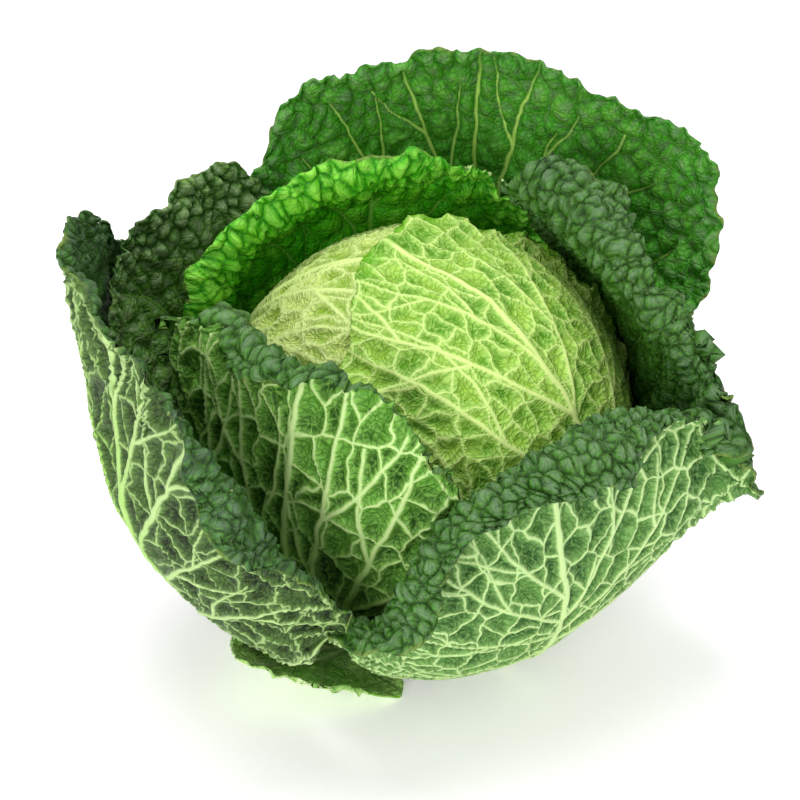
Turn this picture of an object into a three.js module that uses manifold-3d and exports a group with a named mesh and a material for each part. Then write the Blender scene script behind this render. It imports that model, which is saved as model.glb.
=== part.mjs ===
// A savoy cabbage: a round head of wrapped leaves on a short stalk, with loose outer leaves.
// Millimetres, +Z up. The origin is the middle of the stalk's cut face, which lies on the table,
// and -Y is the front. The head's own axis leans forward, so that its crown faces the front.
import * as THREE from 'three';
import Module from 'manifold-3d';

const wasm = await Module();
wasm.setup();

// Driving dimensions
const headLean = 16; // degrees that the head's axis leans towards -Y
const headHeight = 96; // height of the head's centre above the table
const heartRadius = 75.7; // the packed inner leaves, as one solid
const stalkRadius = 16.5;
const stalkTop = heartRadius + 1.5; // distance from the head's centre to the stalk's top
const petioleStart = 18.5; // distance from the head's axis at which a leaf begins
const petioleHalfWidth = 13;
const leafThickness = 1.3;
const gap = 0.4; // kept between neighbouring pieces
const landing = 4; // a leaf is eased onto the table from this far above it
const midribStep = 1;

const rad = THREE.MathUtils.degToRad;
const smooth = (from, to, value) => THREE.MathUtils.smoothstep(value, from, to);

// Each leaf is a flat blade, `length` long and `width` wide on each side of its midrib, wrapped
// round the head at the distance `layer` from its centre.
//   azimuth  direction in which it leaves the stalk: 0 is the front and 90 the right side
//   skew     share by which the right half is wider than the left half
//   belly    share of the length over which the blade widens from its petiole
//   full     share of the length at which it starts to narrow, to `tip` of its width
//   drop     how far the tip's left and right corners fall back, as a share of the length
//   hug      heading in degrees at which the midrib leaves the head, after which it turns by
//            `turn` degrees; `late` is a last turn near its tip
//   cup      radius of the left and right halves across the midrib, less than 0 to bend outwards,
//            reached between the two shares of the length in `flare`
//   roll     a margin rolled outwards, beyond a rounded line about `centre` in the flat blade
const leaves = [
  {
    name: 'head_leaf_back', azimuth: 150, layer: 78.5, length: 250, width: 85,
    belly: 0.5, full: 0.55, tip: 0.6, drop: [0.22, 0.22], colour: 0xa9c76a,
  },
  {
    name: 'head_leaf_left', azimuth: -110, layer: 81.2, length: 262, width: 100,
    belly: 0.5, full: 0.6, tip: 0.6, drop: [0.1, 0.1], colour: 0xa6cc58,
  },
  {
    name: 'head_leaf_front', azimuth: 53, layer: 84, length: 268, width: 80, skew: 0.02,
    belly: 0.4, full: 0.7, tip: 0.78, drop: [0.05, 0.05], colour: 0xaad460,
  },
  {
    name: 'collar_leaf', azimuth: -163.5, layer: 87, length: 226, width: 97, skew: 0.07,
    belly: 0.4, full: 0.5, tip: 0.88, drop: [0.22, 0.05], hug: 74.5, turn: 54, late: 39, cup: [120, 89],
    roll: { centre: [0, 68], radius: 145, bend: 8, turn: 60 }, colour: 0x4f9a22,
  },
  {
    name: 'front_leaf', azimuth: -43, layer: 90, length: 228, width: 112, skew: -0.03,
    belly: 0.4, full: 0.45, tip: 0.6, drop: [0.12, 0.12], hug: 80, turn: 32,
    cup: [170, 98], flare: [0.25, 0.85],
    roll: { centre: [0, 23], radius: 191, bend: 4.5, turn: 170 }, colour: 0x4f7434,
  },
  {
    name: 'right_leaf', azimuth: 115, layer: 90, length: 245, width: 82, skew: -0.35,
    belly: 0.95, full: 0.75, tip: 0.68, drop: [0.22, 0.05], hug: 86, turn: 54, late: -20,
    cup: [668, 210], flare: [0.42, 0.66],
    roll: { centre: [45, 56], radius: 165, bend: 8, turn: 130 }, colour: 0x54793f,
  },
  {
    name: 'left_back_leaf', azimuth: -131, layer: 93, length: 206, width: 84, skew: 0.15,
    belly: 0.6, full: 0.65, tip: 0.82, drop: [0.4, 0.1], hug: 63, turn: 20, late: -5,
    cup: [88, -180], flare: [0.42, 1], colour: 0x4b6a38,
  },
  {
    name: 'right_low_leaf', azimuth: 72, layer: 93, length: 152, width: 54,
    belly: 0.5, full: 0.55, tip: 0.6, drop: [0.22, 0.22], hug: 66, turn: 6,
    cup: [92, 92], colour: 0x3f6f2a,
  },
  {
    name: 'left_leaf', azimuth: -80.5, layer: 97.5, length: 263, width: 140, skew: 0.2,
    belly: 0.63, full: 0.75, tip: 0.68, drop: [0.25, 0.03], hug: 4, turn: 115, late: -30,
    cup: [134, 128], flare: [0.07, 0.5],
    roll: { centre: [19, 105], radius: 157.5, bend: 6, turn: 170, sector: [5, 170] },
    colour: 0x52683c,
  },
  {
    name: 'back_leaf', azimuth: 169, layer: 97, length: 249, width: 114, skew: -0.12,
    belly: 0.5, full: 0.62, tip: 0.85, drop: [0.09, 0.1], hug: 69.5, turn: 24, late: 9,
    cup: [191, 310], flare: [0.34, 1], colour: 0x3f742c,
  },
  {
    name: 'right_front_leaf', azimuth: 39.6, layer: 99.5, length: 231, width: 100, skew: -0.13,
    belly: 0.44, full: 0.62, tip: 0.72, drop: [0.1, 0.25], hug: 89, turn: 50,
    cup: [149, -126], flare: [0.15, 0.87],
    roll: { centre: [-7, 120], radius: 68, square: 2.8, bend: 12, turn: 165, sector: [-86, 70] },
    colour: 0x4d7a3c,
  },
  {
    name: 'low_leaf', azimuth: -42, layer: 104, length: 112, width: 40,
    belly: 0.5, full: 0.5, tip: 0.4, drop: [0.22, 0.22], hug: 20, turn: 25,
    cup: [160, 160], colour: 0x5a7d45,
  },
];

const head = new THREE.Group();
head.rotation.x = rad(headLean);
head.position.set(0, -headHeight * Math.tan(rad(headLean)), headHeight);
head.updateMatrixWorld();

// The midrib's path in its own upright plane: distance from the axis, height and heading.
function midribOf(leaf) {
  const start = Math.asin(petioleStart / leaf.layer);
  const wrapped = leaf.hug === undefined;
  const hug = wrapped ? start + leaf.length / leaf.layer : rad(leaf.hug);
  const hugLength = (hug - start) * leaf.layer;
  const headingAt = (y) => {
    if (y < hugLength) return start + y / leaf.layer;
    const share = (y - hugLength) / Math.max(leaf.length - hugLength, 1);
    const last = Math.max(share - 0.6, 0) / 0.4;
    return hug + rad(leaf.turn ?? 0) * share + rad(leaf.late ?? 0) * last ** 2;
  };
  const path = [];
  let out = leaf.layer * Math.sin(start);
  let up = -leaf.layer * Math.cos(start);
  for (let y = 0; y <= leaf.length + 10; y += midribStep) {
    const heading = headingAt(y);
    path.push({ out, up, heading });
    const middle = headingAt(y + midribStep / 2);
    out += Math.cos(middle) * midribStep;
    up += Math.sin(middle) * midribStep;
  }
  return (y) => {
    const place = THREE.MathUtils.clamp(y / midribStep, 0, path.length - 1.001);
    const a = path[Math.floor(place)];
    const b = path[Math.floor(place) + 1];
    const share = place - Math.floor(place);
    return {
      out: THREE.MathUtils.lerp(a.out, b.out, share) + Math.min(y, 0),
      up: THREE.MathUtils.lerp(a.up, b.up, share),
      heading: THREE.MathUtils.lerp(a.heading, b.heading, share),
    };
  };
}

// A point of the flat blade, x across and y along the midrib, wrapped round the head.
function wrap(leaf, midrib, x, y) {
  const rib = midrib(y);
  const [flareFrom, flareTo] = leaf.flare ?? [0.15, 0.8];
  const cup = leaf.cup ?? [leaf.layer, leaf.layer];
  const open = smooth(flareFrom, flareTo, y / leaf.length);
  const closed = 1 / leaf.layer;
  const bend = closed + (1 / cup[x < 0 ? 0 : 1] - closed) * open;
  const radius = 1 / (Math.abs(bend) < 1e-5 ? 1e-5 : bend);
  const across = radius * Math.sin(x / radius);
  const inwards = radius * (1 - Math.cos(x / radius));
  const azimuth = rad(leaf.azimuth);
  const out = rib.out - inwards * Math.sin(rib.heading);
  return new THREE.Vector3(
    out * Math.sin(azimuth) + across * Math.cos(azimuth),
    -out * Math.cos(azimuth) + across * Math.sin(azimuth),
    rib.up + inwards * Math.cos(rib.heading),
  );
}

// The outward normal of the wrapped blade.
function outwardAt(leaf, midrib, x, y) {
  const step = 0.5;
  const across = wrap(leaf, midrib, x + step, y).sub(wrap(leaf, midrib, x - step, y));
  const along = wrap(leaf, midrib, x, y + step).sub(wrap(leaf, midrib, x, y - step));
  return across.cross(along).normalize();
}

// The wrapped blade with its margin rolled outwards.
function bladePoint(leaf, midrib, x, y) {
  const point = wrap(leaf, midrib, x, y);
  if (!leaf.roll) return point;
  const { centre, radius, square = 2, bend, turn, sector } = leaf.roll;
  const dx = x - centre[0];
  const dy = y - centre[1];
  const reach = Math.hypot(dx, dy);
  const line = (Math.abs(dx) ** square + Math.abs(dy) ** square) ** (1 / square);
  const beyond = reach * (1 - radius / Math.max(line, 1e-6));
  if (beyond <= 0) return point;
  const bearing = THREE.MathUtils.radToDeg(Math.atan2(dx, dy));
  let share = 1;
  if (sector) {
    share = smooth(sector[0] - 20, sector[0] + 20, bearing)
      * (1 - smooth(sector[1] - 20, sector[1] + 20, bearing));
  }
  const footX = x - (beyond * dx) / reach;
  const footY = y - (beyond * dy) / reach;
  const foot = wrap(leaf, midrib, footX, footY);
  const ahead = wrap(leaf, midrib, footX + dx / reach / 2, footY + dy / reach / 2);
  const forward = ahead.sub(foot).normalize();
  const outward = outwardAt(leaf, midrib, footX, footY);
  const fullTurn = rad(turn) * share;
  const angle = Math.min(beyond / bend, fullTurn);
  const rest = beyond - bend * angle;
  const rolled = foot
    .addScaledVector(forward, bend * Math.sin(angle) + rest * Math.cos(angle))
    .addScaledVector(outward, bend * (1 - Math.cos(angle)) + rest * Math.sin(angle));
  return point.lerp(rolled, Math.min(fullTurn / rad(10), 1));
}

// The blade's outline: s runs from petiole to tip and t from the left margin to the right one.
function outline(leaf, s, t) {
  const grown = THREE.MathUtils.lerp(petioleHalfWidth, leaf.width, smooth(0, leaf.belly, s));
  const late = Math.max(s - leaf.full, 0) / (1 - leaf.full);
  const narrowed = Math.sqrt(1 - (1 - leaf.tip ** 2) * late ** 2);
  const x = t * grown * narrowed * (1 + (leaf.skew ?? 0) * Math.sign(t));
  const y = leaf.length * (s - leaf.drop[t < 0 ? 0 : 1] * s ** 2 * t ** 2);
  return [x, y];
}

// Nothing goes below the table: a leaf that reaches it is eased onto it and lies flat there.
function settle(point) {
  const rest = leafThickness / 2;
  head.localToWorld(point);
  const sunk = (landing + rest - point.z) / (2 * landing);
  if (sunk > 0) point.z = rest + landing * (1 - Math.min(sunk, 1)) ** 2;
  return head.worldToLocal(point);
}

// The rows and columns crowd towards the tip and the margins, where the blade rolls.
function bladeGrid(leaf) {
  const midrib = midribOf(leaf);
  const columns = leaf.roll ? 14 : 10;
  const rows = leaf.roll ? 15 : 13;
  const grid = [];
  for (let row = 0; row <= rows; row += 1) {
    const s = 1 - (1 - row / rows) ** (leaf.roll ? 1.5 : 1);
    const line = [];
    for (let column = 0; column <= columns; column += 1) {
      const t = Math.sin((column / columns - 0.5) * Math.PI);
      const [x, y] = outline(leaf, s, t);
      line.push(settle(bladePoint(leaf, midrib, x, y)));
    }
    grid.push(line);
  }
  return grid;
}

// Moves the grid's four edges outwards, in their own surface.
function growMargin(grid, reach) {
  const push = (edge, beside) => {
    edge.addScaledVector(edge.clone().sub(beside).normalize(), reach);
  };
  for (const line of grid) {
    push(line[0], line[1]);
    push(line.at(-1), line.at(-2));
  }
  for (let column = 0; column < grid[0].length; column += 1) {
    push(grid[0][column], grid[1][column]);
    push(grid.at(-1)[column], grid.at(-2)[column]);
  }
}

function gridNormal(grid, row, column) {
  const below = grid[Math.max(row - 1, 0)][column];
  const above = grid[Math.min(row + 1, grid.length - 1)][column];
  const left = grid[row][Math.max(column - 1, 0)];
  const right = grid[row][Math.min(column + 1, grid[0].length - 1)];
  return right.clone().sub(left).cross(above.clone().sub(below)).normalize();
}

// A closed solid about the blade's middle surface, larger than the leaf by `room` all round.
function leafSolid(leaf, room = 0) {
  const grid = bladeGrid(leaf);
  const halfThickness = leafThickness / 2 + room;
  if (room > 0) growMargin(grid, room);
  const rows = grid.length;
  const columns = grid[0].length;
  const positions = [];
  for (const side of [1, -1]) {
    for (let row = 0; row < rows; row += 1) {
      for (let column = 0; column < columns; column += 1) {
        const shift = gridNormal(grid, row, column).multiplyScalar(side * halfThickness);
        positions.push(...grid[row][column].clone().add(shift).toArray());
      }
    }
  }
  const inner = rows * columns;
  const at = (row, column) => row * columns + column;
  const triangles = [];
  for (let row = 0; row < rows - 1; row += 1) {
    for (let column = 0; column < columns - 1; column += 1) {
      const [a, b] = [at(row, column), at(row, column + 1)];
      const [c, d] = [at(row + 1, column + 1), at(row + 1, column)];
      triangles.push(a, b, c, a, c, d);
      triangles.push(a + inner, c + inner, b + inner, a + inner, d + inner, c + inner);
    }
  }
  const rim = [];
  for (let column = 0; column < columns; column += 1) rim.push(at(0, column));
  for (let row = 1; row < rows; row += 1) rim.push(at(row, columns - 1));
  for (let column = columns - 2; column >= 0; column -= 1) rim.push(at(rows - 1, column));
  for (let row = rows - 2; row > 0; row -= 1) rim.push(at(row, 0));
  rim.forEach((a, index) => {
    const b = rim[(index + 1) % rim.length];
    triangles.push(a, a + inner, b + inner, a, b + inner, b);
  });
  return solidFrom(positions, triangles);
}

function solidFrom(positions, triangles) {
  return new wasm.Manifold(new wasm.Mesh({
    numProp: 3,
    vertProperties: new Float32Array(positions),
    triVerts: new Uint32Array(triangles),
  }));
}

function geometryOf(solid) {
  const { vertProperties, triVerts } = solid.getMesh();
  const geometry = new THREE.BufferGeometry();
  geometry.setAttribute('position', new THREE.BufferAttribute(vertProperties, 3));
  geometry.setIndex(new THREE.BufferAttribute(triVerts, 1));
  geometry.computeVertexNormals();
  return geometry;
}

function piece(name, geometry, colour, roughness) {
  const material = new THREE.MeshStandardMaterial({ color: colour, roughness, metalness: 0 });
  const mesh = new THREE.Mesh(geometry, material);
  mesh.name = name;
  return mesh;
}

// Leaves are settled from the outermost in: where two touch, the inner one gives way and keeps
// its larger part.
function settleLeaves() {
  const outsideFirst = [...leaves].reverse();
  const placed = [];
  for (const leaf of outsideFirst) {
    let solid = leafSolid(leaf);
    for (const outer of placed) {
      const room = leafSolid(outer, gap);
      if (solid.intersect(room).volume() > 0) solid = solid.subtract(room);
    }
    const parts = solid.decompose().sort((a, b) => b.volume() - a.volume());
    head.add(piece(leaf.name, geometryOf(parts[0]), leaf.colour, 0.55));
    placed.push(leaf);
  }
}

function heart() {
  const geometry = new THREE.SphereGeometry(heartRadius, 28, 18);
  return piece('heart', geometry, 0xb4cf86, 0.55);
}

// The stalk's top follows the head's axis and its foot is cut level with the table.
function stalk() {
  const sides = 24;
  const topRadius = stalkRadius - 1;
  const positions = [0, 0, 0, 0, 0, -stalkTop];
  for (let side = 0; side < sides; side += 1) {
    const angle = (side / sides) * 2 * Math.PI;
    const foot = new THREE.Vector3(Math.cos(angle), Math.sin(angle), 0)
      .multiplyScalar(stalkRadius);
    const top = foot.clone().multiplyScalar(topRadius / stalkRadius).setZ(-stalkTop);
    const lean = Math.tan(rad(headLean));
    foot.z = -headHeight / Math.cos(rad(headLean)) - foot.y * lean;
    positions.push(...foot.toArray(), ...top.toArray());
  }
  positions[2] = -headHeight / Math.cos(rad(headLean));
  const triangles = [];
  for (let side = 0; side < sides; side += 1) {
    const foot = 2 + 2 * side;
    const nextFoot = 2 + 2 * ((side + 1) % sides);
    triangles.push(0, nextFoot, foot, 1, foot + 1, nextFoot + 1);
    triangles.push(foot, nextFoot, nextFoot + 1, foot, nextFoot + 1, foot + 1);
  }
  return piece('stalk', geometryOf(solidFrom(positions, triangles)), 0xd3d9a4, 0.6);
}

head.add(stalk(), heart());
settleLeaves();

const cabbage = new THREE.Group();
cabbage.add(head);

export default cabbage;
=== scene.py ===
import math

import bpy
import numpy as np
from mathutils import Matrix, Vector, kdtree


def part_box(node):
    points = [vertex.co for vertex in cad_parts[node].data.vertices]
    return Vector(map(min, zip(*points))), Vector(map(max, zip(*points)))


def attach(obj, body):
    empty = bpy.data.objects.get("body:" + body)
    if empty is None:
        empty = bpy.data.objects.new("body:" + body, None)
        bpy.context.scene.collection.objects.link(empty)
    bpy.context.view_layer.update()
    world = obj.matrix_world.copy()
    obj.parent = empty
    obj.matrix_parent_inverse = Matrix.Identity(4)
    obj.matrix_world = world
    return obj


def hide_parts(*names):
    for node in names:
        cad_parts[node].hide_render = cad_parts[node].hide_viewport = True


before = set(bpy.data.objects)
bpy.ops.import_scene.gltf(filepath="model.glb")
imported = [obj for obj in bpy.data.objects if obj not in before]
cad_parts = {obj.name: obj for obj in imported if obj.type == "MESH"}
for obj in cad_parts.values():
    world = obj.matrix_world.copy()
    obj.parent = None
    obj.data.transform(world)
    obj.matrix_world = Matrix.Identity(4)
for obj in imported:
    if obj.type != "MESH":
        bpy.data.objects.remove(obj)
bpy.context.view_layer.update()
mm = 0.001
detail = 1.0


# Shader and geometry nodes
class Wire:
    def __init__(self, net, socket):
        self.net = net
        self.socket = socket

    def maths(self, operation, *others):
        inputs = dict(enumerate((self, *others)))
        return self.net.node("ShaderNodeMath", {"operation": operation}, inputs)

    def __add__(self, other):
        return self.maths("ADD", other)

    def __sub__(self, other):
        return self.maths("SUBTRACT", other)

    def __mul__(self, other):
        return self.maths("MULTIPLY", other)

    def __truediv__(self, other):
        return self.maths("DIVIDE", other)

    def __radd__(self, other):
        return self + other

    def __rmul__(self, other):
        return self * other

    def __rsub__(self, other):
        return self.net.node("ShaderNodeMath", {"operation": "SUBTRACT"}, {0: other, 1: self})

    def __abs__(self):
        return self.maths("ABSOLUTE")

    def also(self, output):
        return Wire(self.net, self.socket.node.outputs[output])

    def step(self, low, high):
        settings = {"interpolation_type": "SMOOTHSTEP"}
        inputs = {"Value": self, "From Min": low, "From Max": high}
        return self.net.node("ShaderNodeMapRange", settings, inputs)

    def clamp(self):
        return self.maths("MAXIMUM", 0.0).maths("MINIMUM", 1.0)


class Net:
    def __init__(self, tree):
        self.tree = tree

    def node(self, kind, settings=None, inputs=None, output=0):
        made = self.tree.nodes.new(kind)
        for name, value in (settings or {}).items():
            setattr(made, name, value)
        for key, value in (inputs or {}).items():
            socket = made.inputs[key]
            if isinstance(value, Wire):
                self.tree.links.new(value.socket, socket)
            else:
                socket.default_value = value
        return Wire(self, made.outputs[output])

    def mix(self, share, a, b):
        return self.node("ShaderNodeMix", {"data_type": "RGBA"}, {0: share, 6: a, 7: b}, 2)

    def vectors(self, operation, a, b, output=0):
        return self.node("ShaderNodeVectorMath", {"operation": operation}, {0: a, 1: b}, output)

    def grow(self, vector, scale):
        inputs = {0: vector, "Scale": scale}
        return self.node("ShaderNodeVectorMath", {"operation": "SCALE"}, inputs)

    def noise(self, place, size, detail=1.0):
        inputs = {"Vector": place, "Scale": 1 / size, "Detail": detail}
        return self.node("ShaderNodeTexNoise", {"noise_dimensions": "3D"}, inputs)

    # distance in mm to the nearest wall of a net of cells
    def cells(self, place, size, random=1.0, dimensions="2D"):
        settings = {"voronoi_dimensions": dimensions, "feature": "DISTANCE_TO_EDGE"}
        inputs = {"Vector": place, "Scale": 1 / size, "Randomness": random}
        return self.node("ShaderNodeTexVoronoi", settings, inputs) * size

    # ends a node group with these values as its outputs
    def finish(self, found):
        kinds = {"VECTOR": "NodeSocketVector", "GEOMETRY": "NodeSocketGeometry"}
        end = self.tree.nodes.new("NodeGroupOutput")
        for key, wire in found.items():
            kind = kinds.get(wire.socket.type, "NodeSocketFloat")
            self.tree.interface.new_socket(key, in_out="OUTPUT", socket_type=kind)
            self.tree.links.new(wire.socket, end.inputs[key])


# The leaf's own vein pattern, shared by its relief and its colours. A lateral vein forks twice: where along it,
# to which side, and how long each fork is.
forks = {"at": ((0.38, 1, 0.5), (0.62, -1, 0.36)), "angle": 34, "bend": 0.0035, "width": 0.62}
taper = 0.6  # how much thinner a vein is at its end


def curvePoint(curve, u):
    x, y, lean, bend = curve[:4]
    off = bend * u * u
    return (x + u * math.sin(lean) + off * math.cos(lean), y + u * math.cos(lean) - off * math.sin(lean))


# Each curve is its start, its heading, its bend, its length and half its width at the start.
def veinCurves(leaf):
    vein = leaf["veins"]
    lean, turn = (math.radians(angle) for angle in vein["ribLean"])
    length = leaf["length"] * 1.05
    rib = (0, 0, lean, math.tan(turn) / (2 * length), length, vein["rib"])
    curves = [rib]
    for index, (start, leanBy, turnBy, reach, width) in enumerate(vein["laterals"]):
        x, y = curvePoint(rib, start)
        heading = math.radians(leanBy)
        width *= vein["weight"]
        lateral = (x, y, heading, math.tan(math.radians(turnBy)) / (2 * reach), reach, width)
        curves.append(lateral)
        for share, side, fork in forks["at"]:
            side = side if index % 2 else -side
            x, y = curvePoint(lateral, share * reach)
            turned = heading + math.atan(2 * lateral[3] * share * reach) + side * math.radians(forks["angle"])
            curves.append((x, y, turned, -side * forks["bend"], fork * reach, width * forks["width"]))
    return curves


curveSockets = {
    "place": "Vector", "forward": "Vector", "sideways": "Vector", "alongStart": "Float", "acrossStart": "Float",
    "bend": "Float", "flatten": "Float", "halfLength": "Float", "width": "Float", "taper": "Float", "main": "Float"}
curveTrees = {}


# One vein as a node group: the smaller of the distance so far and the distance to this vein.
def curveTree(kind):
    if kind in curveTrees:
        return curveTrees[kind]
    tree = bpy.data.node_groups.new("OneVein" + kind[:6], kind)
    for key, socket in curveSockets.items():
        tree.interface.new_socket(key, in_out="INPUT", socket_type="NodeSocket" + socket)
    net = Net(tree)
    start = net.node("NodeGroupInput")
    given = {key: start.also(key) for key in curveSockets}
    along = net.vectors("DOT_PRODUCT", given["place"], given["forward"], "Value") - given["alongStart"]
    across = net.vectors("DOT_PRODUCT", given["place"], given["sideways"], "Value") - given["acrossStart"]
    across = (along * along).maths("MULTIPLY_ADD", given["bend"], across)
    past = (abs(along - given["halfLength"]) - given["halfLength"]).maths("MAXIMUM", 0.0)
    away = abs(across).maths("MULTIPLY_ADD", given["flatten"], past)
    away = along.maths("MULTIPLY_ADD", given["taper"], away - given["width"])
    net.finish({"main": given["main"].maths("MINIMUM", away)})
    curveTrees[kind] = tree
    return tree


def jitter(net, place, size, amount):
    noise = net.noise(place, size).also("Color")
    return net.grow(net.vectors("ADD", noise, (-0.5, -0.5, -0.5)), amount)


def veinPattern(net, leaf, place):
    vein = leaf["veins"]
    seeded = net.vectors("ADD", place, (vein["seed"] * 37.0, vein["seed"] * 91.0, 0))
    bent = net.vectors("ADD", place, jitter(net, seeded, 48, vein["wander"]))
    bent = net.vectors("ADD", bent, jitter(net, seeded, 13, vein["crook"]))
    kind = net.tree.bl_idname
    main = 99.0
    for x, y, lean, bend, length, width in veinCurves(leaf):
        sine, cosine = math.sin(lean), math.cos(lean)
        main = net.node(kind.replace("Tree", "Group"), {"node_tree": curveTree(kind)}, {
            "place": bent, "forward": (sine, cosine, 0), "sideways": (cosine, -sine, 0),
            "alongStart": x * sine + y * cosine, "acrossStart": x * cosine - y * sine, "bend": -bend,
            "flatten": (1 + (bend * length) ** 2) ** -0.5, "halfLength": length / 2, "width": width,
            "taper": taper * width / length, "main": main})
    # the walls between the pockets, and the small wrinkles inside them
    wobble = net.vectors("ADD", seeded, jitter(net, seeded, 11, vein["wobble"]))
    long = net.vectors("MULTIPLY", wobble, (1, 1 / vein["stretch"], 1))
    mesh = net.cells(long, vein["cell"], 0.9) - vein["net"]
    fine = net.cells(net.vectors("ADD", wobble, (3.1, 7.7, 0)), vein["fineCell"], 0.95)
    near = main.maths("SMOOTH_MIN", mesh, 1.2)
    return {"main": main, "mesh": mesh, "fine": fine, "seeded": seeded, "wobble": wobble, "near": near}


def dome(distance, reach):
    rest = 1 - (distance / reach).clamp()
    return 1 - rest * rest


# Shapes. Lengths are in mm, in the head's own frame, where the stalk is below and the leaves wrap upwards.
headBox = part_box("heart")
headCentre = (headBox[0] + headBox[1]) / 2
headLean = math.radians(16)
petiole = {"start": 18.5, "halfWidth": 13}
table = {"rest": 0.65, "landing": 4}
# A margin has lobes, notches and teeth. Each is the length of one wave along it and the share of the leaf's width
# from which it grows.
margin = {"lobesFrom": 0.6, "notch": 9, "teeth": 4.2, "teethFrom": 0.93, "ruffle": 38, "ruffleFrom": 0.35,
          "calm": (0.1, 0.35), "swells": (42, 20)}
tuck = {"reach": 9.0, "behind": 4.0, "aside": 6.0, "asideAtRim": 2.0, "rows": 64, "columns": 56}


def smooth(low, high, value):
    share = np.clip((value - low) / (high - low), 0, 1)
    return share * share * (3 - 2 * share)


# A smooth random line that closes on itself, with count random heights along it.
def waves(places, count, seed):
    count = max(int(round(count)), 3)
    heights = np.random.default_rng(seed).uniform(-1, 1, count)
    heights -= heights.mean()
    at = np.mod(places, 1) * count
    low = np.floor(at).astype(int)
    share = at - low
    share = share * share * (3 - 2 * share)
    return heights[low % count] * (1 - share) + heights[(low + 1) % count] * share


# Smooth random heights from -1 to 1 over the flat blade.
def hills(x, y, size, seed):
    heights = np.random.default_rng(seed).uniform(-1, 1, (32, 32))
    u, v = x / size + 16, y / size
    column, row = np.floor(u).astype(int), np.floor(v).astype(int)
    u, v = u - column, v - row
    u, v = u * u * (3 - 2 * u), v * v * (3 - 2 * v)
    columns = column % 32, (column + 1) % 32
    low, high = (heights[at % 32, columns[0]] * (1 - u) + heights[at % 32, columns[1]] * u for at in (row, row + 1))
    return low * (1 - v) + high * v


def unit(vectors):
    return vectors / np.maximum(np.linalg.norm(vectors, axis=-1, keepdims=True), 1e-9)


def gridNormals(points):
    return unit(np.cross(np.gradient(points, axis=1), np.gradient(points, axis=0)))


# How far out and up the midrib is at a length along it, and its heading there. It hugs the head up to the hug angle
# and then opens by turn, with a last curl by late.
def midribOf(leaf):
    layer, length = leaf["layer"], leaf["length"]
    start = math.asin(petiole["start"] / layer)
    hug = math.radians(leaf["hug"]) if "hug" in leaf else start + length / layer
    hugLength = (hug - start) * layer

    def headingAt(y):
        share = (y - hugLength) / max(length - hugLength, 1)
        last = np.clip(share - 0.6, 0, None) / 0.4
        free = hug + math.radians(leaf["turn"]) * share + math.radians(leaf["late"]) * last ** 2
        return np.where(y < hugLength, start + y / layer, free)

    y = np.arange(0, length + 11.0)
    middle = headingAt(y[:-1] + 0.5)
    out = layer * math.sin(start) + np.concatenate([[0], np.cumsum(np.cos(middle))])
    up = -layer * math.cos(start) + np.concatenate([[0], np.cumsum(np.sin(middle))])
    heading = headingAt(y)
    return lambda at: (np.interp(at, y, out) + np.minimum(at, 0), np.interp(at, y, up), np.interp(at, y, heading))


# Puts a flat point x across and y along the blade on the leaf, whose sides curve round the head.
def wrap(leaf, midrib, x, y):
    out, up, heading = midrib(y)
    layer = leaf["layer"]
    cup = leaf.get("cup", (layer, layer))
    flare = leaf["flare"]
    opened = smooth(flare[0], flare[1], y / leaf["length"])
    bend = 1 / layer + (1 / np.where(x < 0, cup[0], cup[1]) - 1 / layer) * opened
    radius = 1 / np.where(np.abs(bend) < 1e-5, 1e-5, bend)
    across = radius * np.sin(x / radius)
    inwards = radius * (1 - np.cos(x / radius))
    azimuth = math.radians(leaf["azimuth"])
    out = out - inwards * np.sin(heading)
    return np.stack([
        out * math.sin(azimuth) + across * math.cos(azimuth),
        -out * math.cos(azimuth) + across * math.sin(azimuth),
        up + inwards * np.cos(heading)], -1)


# Beyond the fold line, a rounded ring about a centre on the blade, the margin rolls outwards.
def bladePoint(leaf, midrib, x, y):
    point = wrap(leaf, midrib, x, y)
    roll = leaf.get("roll")
    if not roll:
        return point
    dx, dy = x - roll["centre"][0], y - roll["centre"][1]
    reach = np.maximum(np.hypot(dx, dy), 1e-6)
    square = roll.get("square", 2)
    line = (np.abs(dx) ** square + np.abs(dy) ** square) ** (1 / square)
    beyond = np.maximum(reach * (1 - roll["radius"] / np.maximum(line, 1e-6)), 0)
    share = np.ones_like(x)
    if "sector" in roll:
        bearing = np.degrees(np.arctan2(dx, dy))
        low, high = roll["sector"]
        fade = roll.get("fade", 20)
        share = smooth(low - 20, low + 20, bearing) * (1 - smooth(high - fade, high + fade, bearing))
    footX = x - beyond * dx / reach
    footY = y - beyond * dy / reach
    foot = wrap(leaf, midrib, footX, footY)
    forward = unit(wrap(leaf, midrib, footX + dx / reach / 2, footY + dy / reach / 2) - foot)
    sideways = wrap(leaf, midrib, footX + 0.5, footY) - wrap(leaf, midrib, footX - 0.5, footY)
    onwards = wrap(leaf, midrib, footX, footY + 0.5) - wrap(leaf, midrib, footX, footY - 0.5)
    outward = unit(np.cross(sideways, onwards))
    fullTurn = math.radians(roll["turn"]) * share
    angle = np.minimum(beyond / roll["bend"], fullTurn)
    rest = beyond - roll["bend"] * angle
    rolled = foot + forward * (roll["bend"] * np.sin(angle) + rest * np.cos(angle))[..., None]
    rolled += outward * (roll["bend"] * (1 - np.cos(angle)) + rest * np.sin(angle))[..., None]
    blend = (np.minimum(fullTurn / math.radians(10), 1) * (beyond > 0))[..., None]
    return point + (rolled - point) * blend


def girthOf(leaf):
    return 2 * math.pi * 0.5 * (leaf["width"] + leaf["length"] / 2)


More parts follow.
